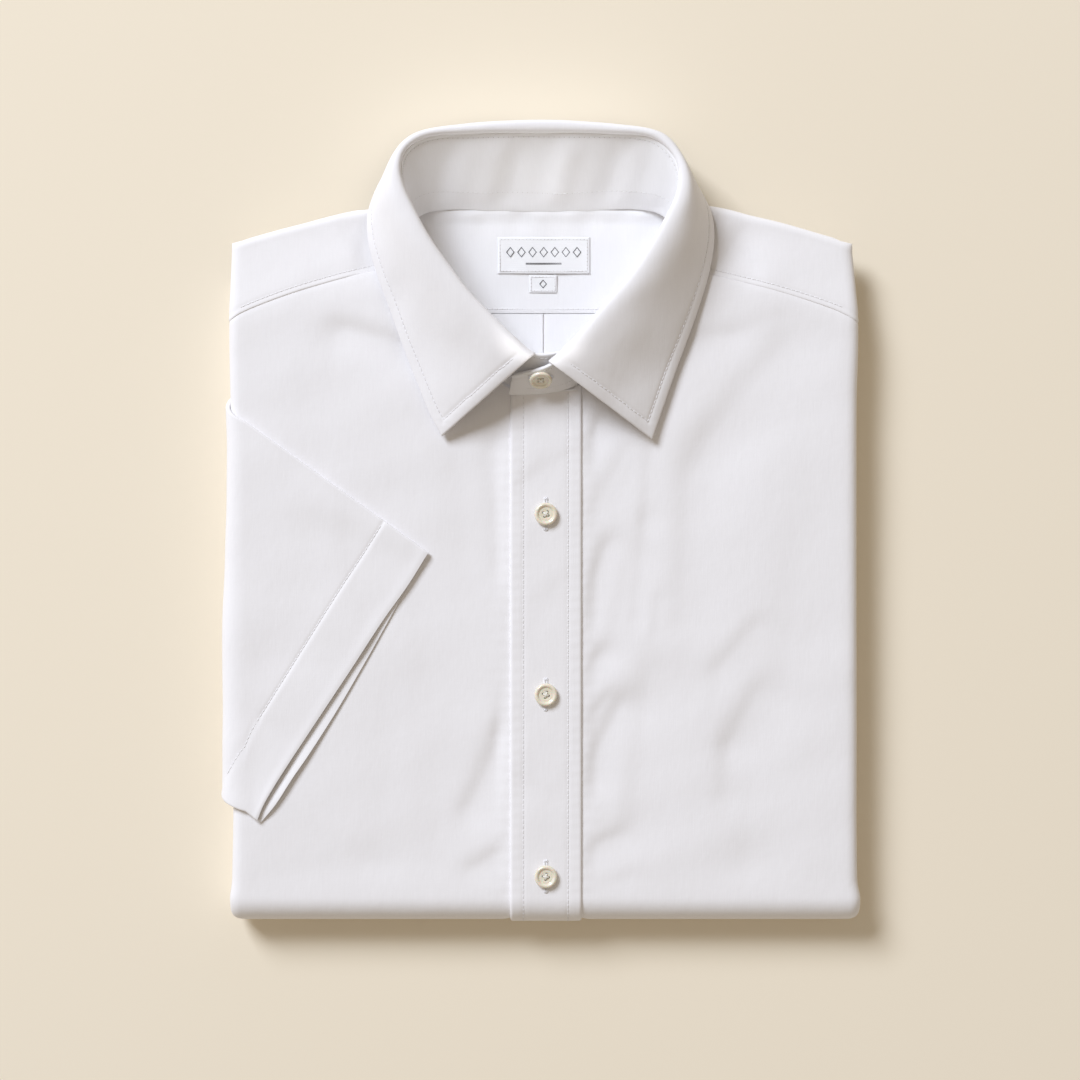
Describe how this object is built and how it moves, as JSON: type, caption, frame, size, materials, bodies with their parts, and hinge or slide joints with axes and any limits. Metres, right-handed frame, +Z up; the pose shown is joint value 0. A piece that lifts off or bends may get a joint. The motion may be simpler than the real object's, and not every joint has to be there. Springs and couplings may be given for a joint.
{
  "type": "folded short-sleeve shirt",
  "caption": "Folded short-sleeve button-up shirt with a turned-down collar, a placket with pale buttons and one sleeve brought onto the front.",
  "frame": {"origin": "middle of the folded shirt's bounding box, on the surface that it lies on", "axes": "+Y from the bottom fold to the collar, +Z up out of the shirt's front, +X to the right as seen from above"},
  "size_m": [0.321, 0.4022, 0.0493],
  "materials": {
    "shirting": "woven cotton, matt",
    "shirting_inside": "woven cotton, matt",
    "label": "woven satin",
    "button_shell": "polished, pearl cream"
  },
  "bodies": {
    "root": {"core_layers": "shirting_inside", "yoke_inner": "shirting_inside", "back": "shirting_inside", "collar_stand": "shirting_inside", "front_right": "shirting", "front_left": "shirting", "placket": "shirting", "yoke_outer": "shirting", "collar_leaf": "shirting", "sleeve_right": "shirting", "label": "label", "size_tab": "label", "button_1": "button_shell", "button_2": "button_shell", "button_3": "button_shell", "button_4": "button_shell"}
  },
  "joints": []
}
